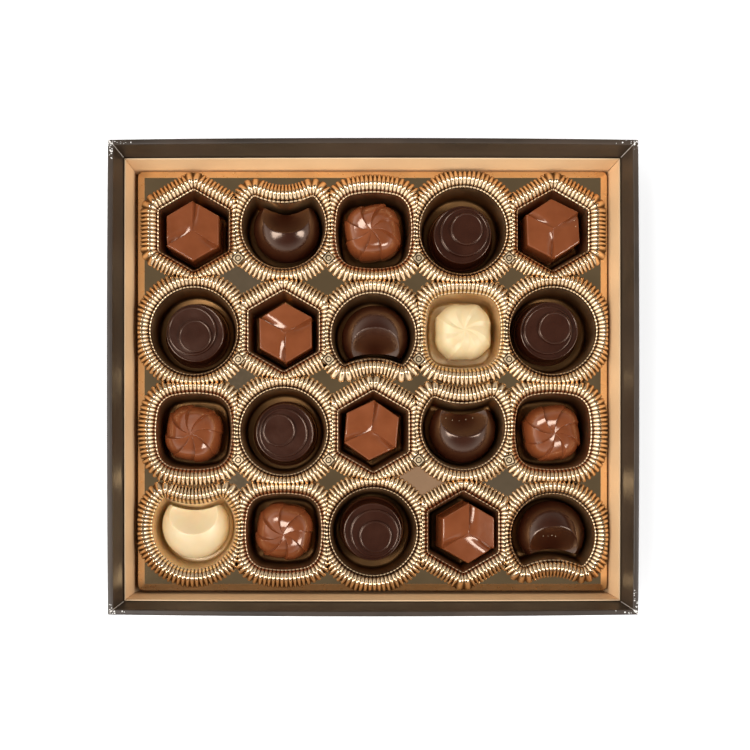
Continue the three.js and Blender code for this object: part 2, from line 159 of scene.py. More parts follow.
SCOOP_Y, SCOOP_WIDTH, SCOOP_LOW, SCOOP_SLOPE, SCOOP_FLOOR, SCOOP_SOFT = 8.2, 1.5, 2.76, 1.03, 3.4, 0.12

# Where the crumbs lie, how many scuffs each corner of the carton has, and the sizes of both.
CRUMBS = (
    (-55.4, 28.5), (-56.3, 24.9), (-53.6, 31.2), (-24.9, 30.3), (-23.6, 26.7), (33.9, -16), (37, -16.9),
    (40.2, -17.1), (43.3, -16.5), (46.4, -15.9), (77.8, -69.5), (80, -69.5), (81.8, -69.2), (83.6, -69.7),
    (91.2, 72.5), (91.7, 69.8), (-5.6, 81), (-4.7, 78.7), (0.2, 50.5), (73.5, -4.5), (-92, -15), (24, 62),
)
SCUFFED_CORNERS = ((-1, 1, 34), (1, -1, 30), (1, 1, 18), (-1, -1, 16))
SCUFF_DEPTH, SCUFF_REACH = 0.07, 9
SCUFF_SIZE, SCUFF_INSET = (0.25, 0.8), (0.35, 1.9)
CRUMB_SIZE, CRUMB_SINK = (0.24, 0.45), 0.2
LUMP_FLAT, LUMP_BELT, LUMP_SPREAD, LUMP_SHOULDER = 0.38, 50, (0.7, 1.1), 0.9

# The camera looks straight down from above a point left of and nearer than the box's middle, with a shifted
# lens.
CAMERA = Vector((-16.4, -46.4, 503)) * MM
FRAME_WIDTH_AT_RIM = 322.5
CAMERA_SHIFT = (40 / 750, 110 / 750)
SENSOR = 36

# Softboxes that face the box: place and size in metres, and power.
LIGHTS = {
    "left": ((-0.66, -0.16, 1.08), (0.4, 0.66), 10.8),
    "right": ((0.83, -0.14, 0.98), (0.36, 0.5), 7.4),
}

# The surroundings' brightness: overhead, low down all round, how much that grows towards +X and +Y, how much
# towards both ends of X, and the upward directions between which it changes.
SURROUNDINGS = {"overhead": 0.133, "ring": 0.76, "X": -0.32, "Y": -0.5, "ends": 1}
RING_TOP, RING_LOW = 0.85, 0.4

# The floor, just under the box.
FLOOR_HALF, FLOOR_DROP = 3000, 0.05


def cube(turn, x, y, lean=(0, 0)):
    return {"kind": "cube", "choc": "milk", "turn": turn, "place": (x, y), "lean": lean}


def swirl(turn, x, y, lean=(0, 0), choc="milk"):
    return {"kind": "swirl", "choc": choc, "turn": turn, "place": (x, y), "lean": lean}


def stack(tiers, x, y, lean=(0, 0)):
    return {"kind": "stack", "choc": "dark", "turn": 0, "tiers": tiers, "place": (x, y), "lean": lean}


def moon(side, x, y, choc="dark"):
    turn = 90 - 90 * side
    return {"kind": "moon", "choc": choc, "turn": turn, "side": side, "place": (x, y), "lean": (0, 0)}


# What stands in each cup, row by row from the far side, as in the frame.
LAYOUT = (
    (
        cube(0, -0.5, -0.3), moon(1, 1, 0.3), swirl(8, 0.6, 0.3, (0, -7)),
        stack(((0.8, 0.9), (1.7, 2.2)), 0, -1.4), cube(63, 0, 0.7),
    ),
    (
        stack(((-1.2, 0.7), (0.3, -1.7)), 0.2, -0.6), cube(61, 0.9, -0.9), moon(-1, 1, -0.3),
        swirl(3, 0.9, 0.6, choc="white"), stack(((-0.8, 0.2), (2.1, 1)), -1.1, 0.3),
    ),
    (
        swirl(-10, -0.4, -0.3, (4, -4)), stack(((-0.5, -0.1), (-2.5, 1)), 0.4, -0.5), cube(-5, -0.8, 0.5),
        moon(1, 0.7, -0.9), swirl(9, 0.7, 0, (4, 0)),
    ),
    (
        moon(1, -0.4, 0.5, choc="white"), swirl(-10, 0, 0.8, (9, 0)),
        stack(((0.9, -0.6), (1.3, -1.9)), -0.3, 1.2, (7, 0)), cube(0, 0.7, 0.1, (3, 6)), moon(-1, 1, 0.7),
    ),
)


# Materials. Noise cells and bump depths are in millimetres. Most of a noise's values lie between these two.
NOISE_LOW, NOISE_HIGH = 0.3, 0.7
CHOCOLATE_CELLS = {"blotches": 9, "grain": 0.6, "dents": 4}
CHOCOLATE_BUMPS = {"grain": 0.008, "dents": 0.06}
CHOCOLATE_GLOSS = 0.8
FILM_CELLS = {"waves": 14, "crinkles": 1.6}
FILM_SHADE, FILM_WAVES = 0.86, 6
CUP_CELL, CUP_BUMP = 8, 0.06
CARD_CELLS = {"fibres": 0.5, "clouds": 26}
CARD_BUMPS = {"fibres": 0.02, "clouds": 0.5}


def new_material(name):
    material = bpy.data.materials.new(name)
    material.use_nodes = True
    nodes = material.node_tree.nodes
    return material, nodes, material.node_tree.links, nodes["Principled BSDF"]


def srgb(red, green, blue):
    """A colour given from 0 to 255 in each channel, as linear numbers."""
    channels = (c / 255 for c in (red, green, blue))
    return tuple(((c + 0.055) / 1.055) ** 2.4 if c > 0.04045 else c / 12.92 for c in channels) + (1,)


def add_noise(nodes, links, cell, detail, stretch=(1, 1, 1)):
    """A noise over the object's own place, with cells of about that many millimetres."""
    place = nodes.new("ShaderNodeTexCoord")
    scale = nodes.new("ShaderNodeMapping")
    scale.inputs["Scale"].default_value = [s / (cell * MM) for s in stretch]
    texture = nodes.new("ShaderNodeTexNoise")
    texture.inputs["Scale"].default_value = 1
    texture.inputs["Detail"].default_value = detail
    links.new(place.outputs["Object"], scale.inputs["Vector"])
    links.new(scale.outputs["Vector"], texture.inputs["Vector"])
    return texture.outputs["Fac"]


def add_ramp(nodes, links, fac, stops):
    ramp = nodes.new("ShaderNodeValToRGB")
    elements = ramp.color_ramp.elements
    while len(elements) < len(stops):
        elements.new(0.5)
    for element, (position, color) in zip(elements, stops):
        element.position = position
        element.color = color
    links.new(fac, ramp.inputs["Fac"])
    return ramp.outputs["Color"]


def add_gloss(nodes, links, shader, fac, limits):
    """Roughness between two limits, as a noise varies."""
    spread = nodes.new("ShaderNodeMapRange")
    spread.inputs["From Min"].default_value = NOISE_LOW
    spread.inputs["From Max"].default_value = NOISE_HIGH
    spread.inputs["To Min"].default_value, spread.inputs["To Max"].default_value = limits
    links.new(fac, spread.inputs["Value"])
    links.new(spread.outputs["Result"], shader.inputs["Roughness"])


def add_bump(nodes, links, shader, layers):
    """Bumps of (height source, depth in mm), one on another."""
    normal = None
    for height, depth in layers:
        bump = nodes.new("ShaderNodeBump")
        bump.inputs["Distance"].default_value = depth * MM
        links.new(height, bump.inputs["Height"])
        if normal:
            links.new(normal, bump.inputs["Normal"])
        normal = bump.outputs["Normal"]
    links.new(normal, shader.inputs["Normal"])


def chocolate_material(name, dark, light, roughness, gleam, translucent=0.0):
    material, nodes, links, shader = new_material(name)
    blotches = add_noise(nodes, links, CHOCOLATE_CELLS["blotches"], 4)
    grain = add_noise(nodes, links, CHOCOLATE_CELLS["grain"], 3)
    dents = add_noise(nodes, links, CHOCOLATE_CELLS["dents"], 2)
    stops = ((NOISE_LOW, dark), (NOISE_HIGH, light))
    links.new(add_ramp(nodes, links, blotches, stops), shader.inputs["Base Color"])
    add_gloss(nodes, links, shader, blotches, roughness)
    shader.inputs["Specular IOR Level"].default_value = CHOCOLATE_GLOSS
    shader.inputs["Specular Tint"].default_value = gleam
    shader.inputs["Subsurface Weight"].default_value = translucent
    shader.inputs["Subsurface Radius"].default_value = (2.0, 1.2, 0.7)
    shader.inputs["Subsurface Scale"].default_value = MM
    layers = ((dents, CHOCOLATE_BUMPS["dents"]), (grain, CHOCOLATE_BUMPS["grain"]))
    add_bump(nodes, links, shader, layers)
    return material


def tray_material(name, color, roughness, crinkle, painted_shade=None, spots=1.6):
    """Gold film, duller in spots of about that size. Where a painted shade colour is given, the
    "painted_shade" attribute mixes it in."""
    material, nodes, links, shader = new_material(name)
    waves = add_noise(nodes, links, FILM_CELLS["waves"], 2)
    crinkles = add_noise(nodes, links, FILM_CELLS["crinkles"], 5)
    dull = add_noise(nodes, links, spots, 5)
    shader.inputs["Metallic"].default_value = 1
    deeper = tuple(c * FILM_SHADE for c in color[:3]) + (1,)
    gold = add_ramp(nodes, links, waves, ((0.35, deeper), (0.65, color)))
    if painted_shade:
        depth = nodes.new("ShaderNodeAttribute")
        depth.attribute_name = "painted_shade"
        mix = nodes.new("ShaderNodeMix")
        mix.data_type = "RGBA"
        links.new(depth.outputs["Fac"], mix.inputs["Factor"])
        links.new(gold, mix.inputs["A"])
        mix.inputs["B"].default_value = painted_shade
        gold = mix.outputs["Result"]
    links.new(gold, shader.inputs["Base Color"])
    add_gloss(nodes, links, shader, dull, roughness)
    add_bump(nodes, links, shader, ((waves, crinkle * FILM_WAVES), (crinkles, crinkle)))
    return material


def cup_material(name, high, low, roughness, shade, tint):
    """Gold film in the cups, painted darker towards their floors as shade; the floors have that share of the
    lower walls' colour.
    Seen along the wall, its gleam has the tint."""
    material, nodes, links, shader = new_material(name)
    waves = add_noise(nodes, links, CUP_CELL, 3)
    place = nodes.new("ShaderNodeTexCoord")
    split = nodes.new("ShaderNodeSeparateXYZ")
    rise = nodes.new("ShaderNodeMapRange")
    rise.inputs["From Min"].default_value = CUP_FLOOR_Z * MM
    rise.inputs["From Max"].default_value = LIP_Z * MM
    links.new(place.outputs["Object"], split.inputs["Vector"])
    links.new(split.outputs["Z"], rise.inputs["Value"])
    # Painted shade: the ramp darkens the film from the lip down to the floors.
    floor = tuple(c * shade for c in low[:3]) + (1,)
    stops = ((0.05, floor), (0.3, low), (1, high))
    links.new(add_ramp(nodes, links, rise.outputs["Result"], stops), shader.inputs["Base Color"])
    add_gloss(nodes, links, shader, waves, roughness)
    shader.inputs["Metallic"].default_value = 1
    shader.inputs["Specular Tint"].default_value = tint
    add_bump(nodes, links, shader, ((waves, CUP_BUMP),))
    return material


def card_material(name, color, shade, metallic, roughness):
    """Printed or foiled card: faint fibres, a little unevenness and a soft gloss."""
    material, nodes, links, shader = new_material(name)
    fibres = add_noise(nodes, links, CARD_CELLS["fibres"], 4, (1, 1, 0.4))
    clouds = add_noise(nodes, links, CARD_CELLS["clouds"], 3)
    stops = ((NOISE_LOW, shade), (NOISE_HIGH, color))
    links.new(add_ramp(nodes, links, clouds, stops), shader.inputs["Base Color"])
    add_gloss(nodes, links, shader, clouds, roughness)
    shader.inputs["Metallic"].default_value = metallic
    layers = ((clouds, CARD_BUMPS["clouds"]), (fibres, CARD_BUMPS["fibres"]))
    add_bump(nodes, links, shader, layers)
    return material


IVORY = (1, 0.95, 0.85, 1)
CREAM = srgb(231, 208, 166), srgb(238, 218, 178)
# Painted shade: the swirls' white chocolate is a darker copy of the cream, and matt as well.
MATT_CREAM_PAINTED_DARKER = srgb(217, 193, 148), srgb(225, 203, 158)
DARK_CHOCOLATE = srgb(44, 17, 8), srgb(54, 24, 13)
MILK_CHOCOLATE = srgb(118, 61, 31), srgb(132, 71, 39)
MATERIALS = {
    "dark": chocolate_material("dark chocolate", *DARK_CHOCOLATE, (0.15, 0.23), (1, 0.76, 0.6, 1)),
    "milk": chocolate_material("milk chocolate", *MILK_CHOCOLATE, (0.1, 0.18), (1, 0.82, 0.68, 1), 0.1),
    "white": chocolate_material("white chocolate", *CREAM, (0.3, 0.42), IVORY, 0.6),
    "white swirl": chocolate_material("white chocolate, matt, painted darker", *MATT_CREAM_PAINTED_DARKER, (0.4, 0.5), IVORY, 0.6),
    # The rims' dark valley colour is painted shade, mixed in by the painted_shade attribute.
    "rim": tray_material(
        "gold fluted tray", (0.95, 0.68, 0.41, 1), (0.16, 0.26), 0.01, painted_shade=(0.13, 0.075, 0.033, 1)
    ),
    "deck": tray_material("gold flat tray", (0.92, 0.62, 0.32, 1), (0.02, 0.05), 0.001, spots=12),
    # The marks' dark colour is painted shade on their ridges, ring and dot.
    "mark": tray_material(
        "moulded marks", (0.84, 0.64, 0.4, 1), (0.42, 0.52), 0.005, painted_shade=(0.05, 0.03, 0.015, 1)
    ),
    # Painted reflection: a darker, rougher spot of film standing in for a tan reflection on the flat.
    "dull": tray_material("dull spot of the tray, painted reflection", (0.33, 0.2, 0.115, 1), (0.5, 0.6), 0.01),
    "crinkled": tray_material("crinkled spot of the tray", (0.92, 0.66, 0.4, 1), (0.05, 0.12), 0.05),
    # The edge band's dark colour is painted shade on its near and left sides.
    "edge_band": tray_material(
        "gold tray edge", (0.86, 0.61, 0.36, 1), (0.26, 0.36), 0.01, painted_shade=(0.16, 0.1, 0.045, 1)
    ),
    # The cups' film is painted darker towards their floors, as shade.
    "well": cup_material(
        "gold tray cups", (0.84, 0.55, 0.28, 1), (0.4, 0.205, 0.078, 1), (0.34, 0.46), 0.5, (1, 0.62, 0.32, 1)
    ),
    # Painted light: a lighter copy of the cups' film round the white pralines, as if lit by them.
    "painted_light_well": cup_material(
        "gold tray cups round white pralines, painted lighter",
        (0.94, 0.75, 0.51, 1), (0.86, 0.68, 0.44, 1), (0.35, 0.5), 0.9, (1, 1, 1, 1),
    ),
    "crumb": card_material("pale crumbs", srgb(244, 226, 188), srgb(232, 206, 160), 0, (0.5, 0.7)),
    "frame": card_material("gold card", srgb(230, 192, 146), srgb(222, 182, 137), 0.15, (0.45, 0.6)),
    "edge": card_material("card cut edge", srgb(222, 190, 150), srgb(206, 174, 136), 0, (0.6, 0.7)),
    "wrap": card_material("dark paper wrap", srgb(59, 44, 30), srgb(41, 30, 19), 0, (0.42, 0.55)),
    "scuff": card_material("worn paper", srgb(232, 228, 222), srgb(214, 208, 200), 0, (0.6, 0.7)),
    "seam": card_material("paper seam", srgb(214, 206, 196), srgb(190, 180, 168), 0, (0.5, 0.6)),
}


# Outlines and meshes
ARC_POINTS = 90


def outline(arcs, count, spread=0.0):
    """Points of a closed outline of arcs (x, y, radius, from, to) and the straight lines between them, and
    their outward normals. They lie evenly spaced along the outline that runs outside this one by spread."""
    centre, radius, angle = [], [], []
    for x, y, r, start, end in arcs:
        steps = np.radians(np.linspace(start, end, ARC_POINTS))
        centre += [(x, y)] * len(steps)
        radius += [r] * len(steps)
        angle += list(steps)
    turn = angle[0] + 2 * math.pi
    centre.append(centre[0])
    radius.append(radius[0])
    angle = np.array(angle + [turn])
    facing = np.stack([np.cos(angle), np.sin(angle)], axis=1)
    points = np.array(centre) + np.array(radius)[:, None] * facing
    wide = points + spread * facing
    along = np.concatenate([[0], np.cumsum(np.linalg.norm(np.diff(wide, axis=0), axis=1))])
    where = np.arange(count) * along[-1] / count
    place = np.stack([np.interp(where, along, points[:, 0]), np.interp(where, along, points[:, 1])], axis=1)
    heading = np.interp(where, along, angle)
    return place, np.stack([np.cos(heading), np.sin(heading)], axis=1)


def cos_sin(degrees):
    a = math.radians(degrees)
    return math.cos(a), math.sin(a)


def circle_arcs(radius):
    return [(0, 0, radius, 0, 359.99)]


def hex_arcs(apothem, corner):
    reach = (apothem - corner) / math.cos(math.radians(30))
    arcs = []
    for turn in range(30, 390, 60):
        c, s = cos_sin(turn)
        arcs.append((reach * c, reach * s, corner, turn - 30, turn + 30))
    return arcs


def square_arcs(half, corner, bow=SQUARE_BOW):
    """A square with round corners, its sides slightly bowed as wide arcs over bow degrees either way."""
    c, s = cos_sin(bow)
    side = (half - corner * (c - s)) / (1 - (c - s))
    pull, at = side - half, (side - corner) * s
    arcs = []
    for turn in (0, 90, 180, 270):
        tc, ts = cos_sin(turn)
        arcs.append((-pull * tc, -pull * ts, side, turn - bow, turn + bow))
        arcs.append((at * (tc - ts), at * (ts + tc), corner, turn + bow, turn + 90 - bow))
    return arcs


def bite_arcs(radius, apex, bite, horn):
    """A circle with a shallow bite on its far side and rounded horns."""
    c = apex + bite
    y = (c * c + (radius - horn) ** 2 - (bite + horn) ** 2) / (2 * c)
    x = math.sqrt((radius - horn) ** 2 - y * y)
    out, inwards = math.degrees(math.atan2(y, x)), math.degrees(math.atan2(c - y, -x))
    return [
        (0, 0, radius, -180 - out, out),
        (x, y, horn, out, inwards),
        (0, c, -bite, inwards, 180 - inwards),
        (-x, y, horn, 180 - inwards, 180 - out),
    ]


def cup_arcs(kind, offset):
    if kind == "stack":
        return circle_arcs(ROUND_CUP + offset)
    if kind == "cube":
        return hex_arcs(HEX_CUP + offset, max(HEX_CUP_CORNER + offset, SHARPEST))
    if kind == "swirl":
        return square_arcs(SQUARE_CUP + offset, SQUARE_CUP_CORNER + offset)
    horn = max(BITE_CUP["horn"] + offset, SHARPEST)
    return bite_arcs(BITE_CUP["radius"] + offset, BITE_CUP["apex"] + offset, BITE_CUP["bite"] - offset, horn)


def rotated(points, degrees):
    c, s = cos_sin(degrees)
    return points @ np.array([[c, s], [-s, c]])


def bowed_ring(inset, z, bow, steps=24, corner=0.3):
    """A ring of the carton's walls, whose sides bulge by bow at their middles."""
    t = np.linspace(-1, 1, steps)
    x, y = HALF_X - inset, HALF_Y - inset
    end_x, end_y = x - bow[0] - corner, y - bow[1] - corner
    right = np.stack([x - bow[0] * t**2, end_y * t], axis=1)
    far = np.stack([-end_x * t, y - bow[1] * t**2], axis=1)
    return raised(np.concatenate([right, far, -right, -far]), z)


def raised(points, z):
    return np.column_stack([points, np.broadcast_to(z, len(points))])


class Mesh:
    """Gathers points and faces, in millimetres, and turns them into an object."""

    def __init__(self):
        self.points, self.faces, self.count = [], [], 0

    def add_points(self, points):
        first = self.count
        self.points.append(np.asarray(points, dtype=float))
        self.count += len(points)
        return first

    def add_rings(self, rings, closed=True, loop=False):
        """Quads between rings of equal length. Rings run counter-clockwise, each inside or above the last."""
        n = len(rings[0])
        first = self.add_points(np.concatenate(rings))
        pairs = len(rings) if loop else len(rings) - 1
        columns = np.arange(n if closed else n - 1)
        for r in range(pairs):
            low, high = first + r * n, first + (r + 1) % len(rings) * n
            after = (columns + 1) % n
            corners = [low + columns, low + after, high + after, high + columns]
            self.faces += np.stack(corners, axis=1).tolist()
        return first

    def add_cap(self, start, n, up):
        ring = list(range(start, start + n))
        self.faces.append(ring if up else ring[::-1])

    def add_fan(self, start, n, top):
        apex = self.add_points([top])
        self.faces += [[start + i, start + (i + 1) % n, apex] for i in range(n)]

    def close(self, first, rings, top=None):
        """Closes rings with a flat face below and, above, a flat face or a fan up to a top point."""
        n = len(rings[0])
        last = first + (len(rings) - 1) * n
        self.add_cap(first, n, up=False)
        if top is None:
            self.add_cap(last, n, up=True)
        else:
            self.add_fan(last, n, top)

    def build(self, name, material, angle=35.0, merge=0.0):
        data = bpy.data.meshes.new(name)
        data.from_pydata((np.concatenate(self.points) * MM).tolist(), [], self.faces)
        data.validate()
        piece = bpy.data.objects.new(name, data)
        bpy.context.collection.objects.link(piece)
        if merge:
            weld = piece.modifiers.new("weld", "WELD")
            weld.merge_threshold = merge * MM
            apply_modifiers(piece)
            data = piece.data
        data.shade_smooth()
        data.set_sharp_from_angle(angle=math.radians(angle))
        data.materials.append(MATERIALS[material])
        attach(piece, "root")
        return piece


def apply_modifiers(piece):
    graph = bpy.context.evaluated_depsgraph_get()
    data = bpy.data.meshes.new_from_object(piece.evaluated_get(graph))
    piece.modifiers.clear()
    piece.data = data


# The carton and the frame


def make_carton():
    """The dark paper-wrapped base with its sloping inner walls."""
    rings = [bowed_ring(FOOT_ROUND, 0, BOW_RIM), bowed_ring(0, FOOT_ROUND, BOW_RIM)]
    rings += fold_rings(0, RIM_INSET)
    rings += [
        bowed_ring(LEDGE_INSET - LEDGE_ROUND["inset"], LEDGE_Z + LEDGE_ROUND["above"], BOW_LOW),
        bowed_ring(LEDGE_INSET, LEDGE_Z - LEDGE_ROUND["below"], BOW_LOW),
        bowed_ring(LEDGE_INSET, FLOOR_Z, BOW_LOW),
    ]
    mesh = Mesh()
    mesh.close(mesh.add_rings(rings), rings)
    carton = mesh.build("carton_wrapped", "wrap")
    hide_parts("carton")


def fold_rings(outer, inner):
    """The rim's rounded top, from the outer wall over to the inner wall. It stays just under the scuffs."""
    top = RIM_Z - SCUFF_DEPTH
    rise, fall = [], []
    for a in np.radians(np.linspace(0, 90, FOLD_STEPS)):
        inset, drop = FOLD * (1 - math.cos(a)), FOLD * (1 - math.sin(a))
        rise.append(bowed_ring(outer + inset, top - drop, BOW_RIM))
        fall.append(bowed_ring(inner - inset, top - drop, BOW_RIM))
    return rise + fall[::-1]


def make_seams():
    """The paper's pale cut edges, along the mitred corners over the rim and down the inner walls."""
    mesh = Mesh()
    stations = (
        (SEAM["start"], RIM_Z - SEAM["sink"], BOW_RIM),
        (RIM_INSET - FOLD, RIM_Z - SEAM["sink"], BOW_RIM),
        (RIM_INSET, RIM_Z - SEAM["bend"], BOW_RIM),
        (LEDGE_INSET, LEDGE_Z + SEAM["end"], BOW_LOW),
    )
    for sx in (-1, 1):
        for sy in (-1, 1):
            path = []
            for (inset, z, bow), (low_inset, low_z, low_bow) in zip(stations, stations[1:]):
                for t in np.linspace(0, 1, SEAM["steps"]):
                    x = HALF_X - inset - bow[0] - (low_inset - inset + low_bow[0] - bow[0]) * t
                    y = HALF_Y - inset - bow[1] - (low_inset - inset + low_bow[1] - bow[1]) * t
                    path.append(Vector((sx * x, sy * y, z + (low_z - z) * t)))
            add_strand(mesh, path, SEAM["radius"])
    seams = mesh.build("paper_seams", "seam", 60)


def add_strand(mesh, path, radius, sides=6):
    """A thin round strand along a path, closed at both ends."""
    rings = []
    for i, point in enumerate(path):
        along = (path[min(i + 1, len(path) - 1)] - path[max(i - 1, 0)]).normalized()
        side = along.cross(Vector((0.3, 0.2, 1))).normalized()
        other = along.cross(side)
        turns = [2 * math.pi * k / sides for k in range(sides)]
        ring = [point + radius * (math.cos(a) * side + math.sin(a) * other) for a in turns]
        rings.append(np.array(ring))
    mesh.close(mesh.add_rings(rings), rings)


def make_frame():
    """The gold card frame, folded at its foot, with mitred corners and a pale cut edge on top."""
    mesh = Mesh()
    for turn in range(4):
        rings = [frame_side(inset, z, turn) for inset, z in FRAME_SECTION]
        n = len(rings[0])
        first = mesh.add_rings(rings, closed=False, loop=True)
        mesh.faces.append([first + r * n for r in range(len(rings))])
        mesh.faces.append([first + r * n + n - 1 for r in range(len(rings))][::-1])
    card = mesh.build("card_frame", "frame")
    card.data.materials.append(MATERIALS["edge"])
    for face in card.data.polygons:
        if face.center.z > (LEDGE_Z - CUT_EDGE_DEPTH) * MM and face.normal.z > CUT_EDGE_RISE:
            face.material_index = 1
    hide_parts("frame")


def frame_side(inset, z, turn, steps=16):
    """One side's row of points at that inset, from mitre to mitre, counter-clockwise."""
    t = np.linspace(-1, 1, steps + 1)
    half = (HALF_X - inset, HALF_Y - inset) if turn % 2 == 0 else (HALF_Y - inset, HALF_X - inset)
    bow = BOW_LOW if turn % 2 == 0 else BOW_LOW[::-1]
    across = half[0] - bow[0] * t**2
    along = (half[1] - bow[1] - MITRE_GAP) * t
    return raised(rotated(np.stack([across, along], axis=1), 90 * turn), z)


# The tray


def cup_place(row, column):
    return np.array([GRID_MIDDLE[0] + (column - 2) * PITCH_X, GRID_MIDDLE[1] + (1.5 - row) * PITCH_Y])


def cup_lip(row, column, count, offset=0.0, spread=0.0):
    """Points and normals of a cup's outline in the tray's place."""
    praline = LAYOUT[row][column]
    points, normals = outline(cup_arcs(praline["kind"], offset), count, spread)
    shift = BITE_SHIFT * praline.get("side", 0)
    turn = praline["turn"] if praline["kind"] == "moon" else 0
    return rotated(points, turn) + cup_place(row, column) + (0, shift), rotated(normals, turn)


def lip_length(row, column):
    points, _ = cup_lip(row, column, 400, spread=EVEN_AT)
    length = np.linalg.norm(np.diff(points, axis=0, append=points[:1]), axis=1).sum()
    return length * (1 + EVEN_AT / ROUND_CUP)


class Tray:
    """The cups' lips, and how far each cup's rim runs out before it meets another rim or the tray's edge."""

    def __init__(self):
        self.cups = [(row, column) for row in range(4) for column in range(5)]
        self.lips = {}
        for cup in self.cups:
            flutes = round(lip_length(*cup) / FLUTE_PITCH)
            self.lips[cup] = cup_lip(*cup, flutes * FLUTE_SAMPLES, spread=EVEN_AT)
        self.trees = {}
        for cup in self.cups:
            self.trees[cup] = self.tree_of([other for other in self.cups if other != cup])
        self.whole = self.tree_of(self.cups)

    def tree_of(self, cups):
        points = np.concatenate([self.lips[cup][0] for cup in cups])
        normals = np.concatenate([self.lips[cup][1] for cup in cups])
        tree = kdtree.KDTree(len(points))
        for i, (x, y) in enumerate(points):
            tree.insert((x, y, 0), i)
        tree.balance()
        return tree, points, normals

    def reach(self, cup):
        edge_gap, nearest, stride, margin = 0.15, 0.4, 0.2, 0.6
        points, normals = self.lips[cup]
        tree = self.trees[cup][0]
        reach = np.full(len(points), FOOT + 1)
        limit = np.array([TRAY_HALF.x, TRAY_HALF.y]) - edge_gap
        middle = np.array(TRAY_MIDDLE[:2])
        steps = np.arange(nearest, FOOT + margin, stride)
        for i, (point, normal) in enumerate(zip(points, normals)):
            for step in steps:
                place = point + normal * step
                gap = tree.find((*place, 0))[2]
                edge = (limit - abs(place - middle)).min()
                if gap < step:
                    reach[i] = step - (step - gap) / 2
                    break
                if edge < 0:
                    reach[i] = step + edge
                    break
        return reach

    def beyond(self, x, y):
        """How far a place lies outside every cup's lip, negative inside a cup."""
        tree, points, normals = self.whole
        _, index, gap = tree.find((x, y, 0))
        outside = np.dot(np.array((x, y)) - points[index], normals[index]) > 0
        return gap if outside else -gap


def flute_wave(count):
    """Rounded ribs with sharp valleys between them, from 0 to 1."""
    return np.abs(np.cos(np.pi * np.arange(count) / FLUTE_SAMPLES)) ** FLUTE_ROUND


def flute_painted_shade(count, offsets):
    """How much painted shade each point of a fluted rim gets, from 0 to 1, in rings from the outermost
    inwards.
    """
    fold = VALLEY_PAINTED_SHADE["growth"] * (1 - flute_wave(count)) - VALLEY_PAINTED_SHADE["start"]
    ledge = LEDGE_PAINTED_SHADE["share"] * np.exp(-(((offsets - LEDGE_PAINTED_SHADE["offset"]) / LEDGE_PAINTED_SHADE["width"]) ** 2))
    end = END_PAINTED_SHADE["share"] * np.clip((offsets - END_PAINTED_SHADE["offset"]) / END_PAINTED_SHADE["width"], 0, 1)
    return np.clip(fold[None, :] + (ledge + end)[::-1, None], 0, 1).ravel()


def paint_shade_on_points(piece, values):
    """Gives each point its share of the material's painted shade colour."""
    shade = piece.data.attributes.new("painted_shade", "FLOAT", "POINT")
    shade.data.foreach_set("value", values)


def make_rims(tray):
    """The cups' raised fluted rims, row by row. Where two rims meet, each dives just under the other."""
    offsets, heights = np.array(RIM_PROFILE).T
    depth_at, depths = np.array(FLUTE_DEPTH).T
    creep_limit, dive = 0.25, 12
    chance = np.random.default_rng(3)
    for row in range(4):
        mesh = Mesh()
        valleys = []
        for column in range(5):
            points, normals = tray.lips[row, column]
            reach = tray.reach((row, column))
            strengths = chance.uniform(*FLUTE_STRENGTH, len(points) // FLUTE_SAMPLES)
            strength = np.roll(np.repeat(strengths, FLUTE_SAMPLES), FLUTE_SAMPLES // 2)
            wave = (flute_wave(len(points)) - FLUTE_LEVEL) * strength
            # Painted shade in the flutes' valleys, on the ledge over the lip and at their outer ends.
            valleys.append(flute_painted_shade(len(points), offsets))
            rings = []
            for offset in offsets:
                over = np.maximum(offset - reach, 0)
                creep = creep_limit * (1 - np.exp(-over / creep_limit))
                along = np.minimum(offset, reach)
                z = np.interp(along, offsets, heights) - dive * creep
                z += wave * np.interp(along, depth_at, depths)
                rings.append(raised(points + normals * (along + creep)[:, None], z))
            mesh.add_rings(rings[::-1])
        rims = mesh.build(f"tray_rims_{row + 1}", "rim", 180)
        paint_shade_on_points(rims, np.concatenate(valleys))
        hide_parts("tray")


def make_wells(name, material, pale):
    """The smooth walls and floors of the cups that hold white pralines, or of all the others."""
    mesh = Mesh()
    for row in range(4):
        for column in range(5):
            if (LAYOUT[row][column]["choc"] == "white") != pale:
                continue
            rings = [raised(cup_lip(row, column, WELL_POINTS, offset)[0], z) for offset, z in WELL_PROFILE]
            first = mesh.add_rings(rings)
            middle = rings[-1].mean(axis=0)
            mesh.add_fan(first + (len(rings) - 1) * WELL_POINTS, WELL_POINTS, middle)
    wells = mesh.build(name, material, 60)
    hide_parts("tray")


def make_deck(tray):
    """The tray's mirror-flat surface between the rims."""
    mesh = Mesh()
    middle = np.array(TRAY_MIDDLE[:2])
    half = np.array(TRAY_HALF[:2]) - TRAY_EDGE - DROOP_WIDTH
    xs, ys = (np.linspace(-h, h, int(2 * h / DECK_STEP)) for h in half)
    places = [middle + (x, y) for y in ys for x in xs]
    kept = [tray.beyond(*place) > DECK_HIDDEN for place in places]
    mesh.add_points([(*place, DECK_Z) for place in places])
    n = len(xs)
    for j in range(len(ys) - 1):
        for i in range(n - 1):
            quad = [j * n + i, j * n + i + 1, (j + 1) * n + i + 1, (j + 1) * n + i]
            if all(kept[k] for k in quad):
                mesh.faces.append(quad)
    deck = mesh.build("tray_deck", "deck", 50)
    for spot in ("dull", "crinkled"):
        deck.data.materials.append(MATERIALS[spot])
    for face in deck.data.polygons:
        for x, y, index in DECK_SPOTS:
            if math.dist(face.center[:2], (x * MM, y * MM)) < SPOT_REACH * MM:
                face.material_index = index
    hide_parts("tray")


